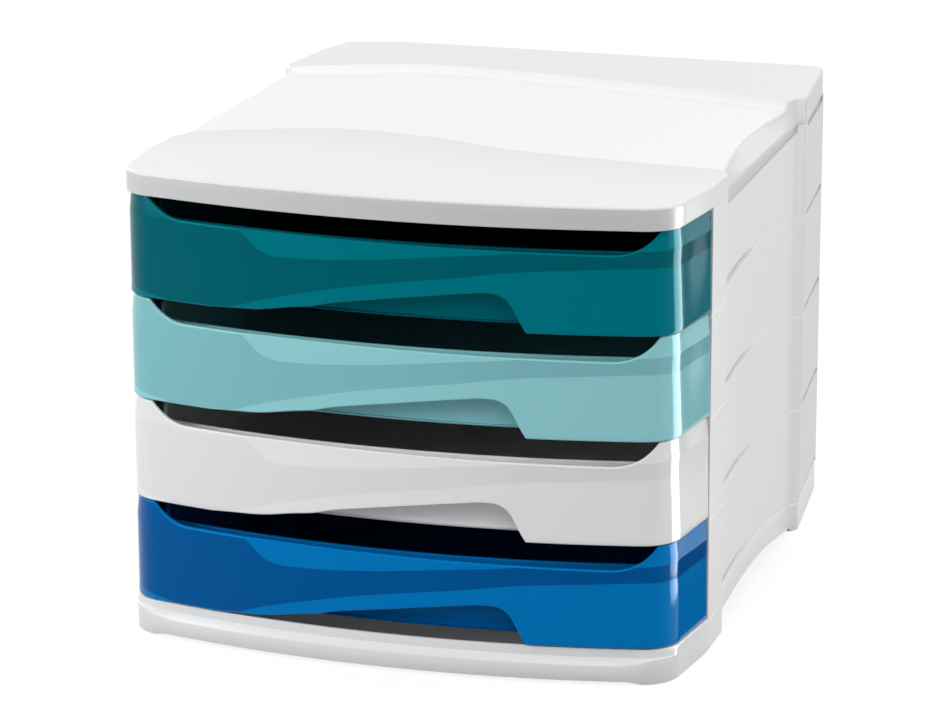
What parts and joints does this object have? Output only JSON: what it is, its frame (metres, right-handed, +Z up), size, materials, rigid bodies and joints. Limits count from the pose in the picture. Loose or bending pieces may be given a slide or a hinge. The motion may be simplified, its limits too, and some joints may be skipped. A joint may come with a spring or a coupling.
{
  "type": "desk-top drawer tower",
  "caption": "Desk-top plastic drawer tower with a bowed front: stacked housing levels, sliding glossy drawers with wave-shaped finger grips, a plinth and a roof.",
  "frame": {"origin": "middle of the footprint, on the surface that the non-slip pads stand on", "axes": "+Z up, drawers pull out along -Y, +X to the right as seen from the front"},
  "size_m": [0.288, 0.35, 0.238],
  "materials": {
    "housing_white": "white moulded polystyrene, satin gloss",
    "drawer_teal": "dark teal moulded polystyrene, high gloss",
    "drawer_aqua": "pale aqua moulded polystyrene, high gloss",
    "drawer_white": "white moulded polystyrene, high gloss",
    "drawer_blue": "blue moulded polystyrene, high gloss",
    "pad_rubber": "dark matt rubber"
  },
  "bodies": {
    "housing": {"roof_cover": "housing_white", "plinth": "housing_white", "shelf_1": "housing_white", "shelf_2": "housing_white", "shelf_3": "housing_white", "left_cheek_1": "housing_white", "left_cheek_2": "housing_white", "left_cheek_3": "housing_white", "left_cheek_4": "housing_white", "right_cheek_1": "housing_white", "right_cheek_2": "housing_white", "right_cheek_3": "housing_white", "right_cheek_4": "housing_white", "rear_panel_1": "housing_white", "rear_panel_2": "housing_white", "rear_panel_3": "housing_white", "rear_panel_4": "housing_white", "pad_front_left": "pad_rubber", "pad_front_right": "pad_rubber", "pad_rear_left": "pad_rubber", "pad_rear_right": "pad_rubber"},
    "drawer_1": {"drawer_front_1": "drawer_teal", "drawer_tray_1": "drawer_teal"},
    "drawer_2": {"drawer_front_2": "drawer_aqua", "drawer_tray_2": "drawer_aqua"},
    "drawer_3": {"drawer_front_3": "drawer_white", "drawer_tray_3": "drawer_white"},
    "drawer_4": {"drawer_front_4": "drawer_blue", "drawer_tray_4": "drawer_blue"}
  },
  "joints": [
    {"name": "drawer_1_slide", "type": "slide", "parent": "housing", "child": "drawer_1", "axis": [0, -1, 0], "range_m": [0, 0.24]},
    {"name": "drawer_2_slide", "type": "slide", "parent": "housing", "child": "drawer_2", "axis": [0, -1, 0], "range_m": [0, 0.24]},
    {"name": "drawer_3_slide", "type": "slide", "parent": "housing", "child": "drawer_3", "axis": [0, -1, 0], "range_m": [0, 0.24]},
    {"name": "drawer_4_slide", "type": "slide", "parent": "housing", "child": "drawer_4", "axis": [0, -1, 0], "range_m": [0, 0.24]}
  ]
}
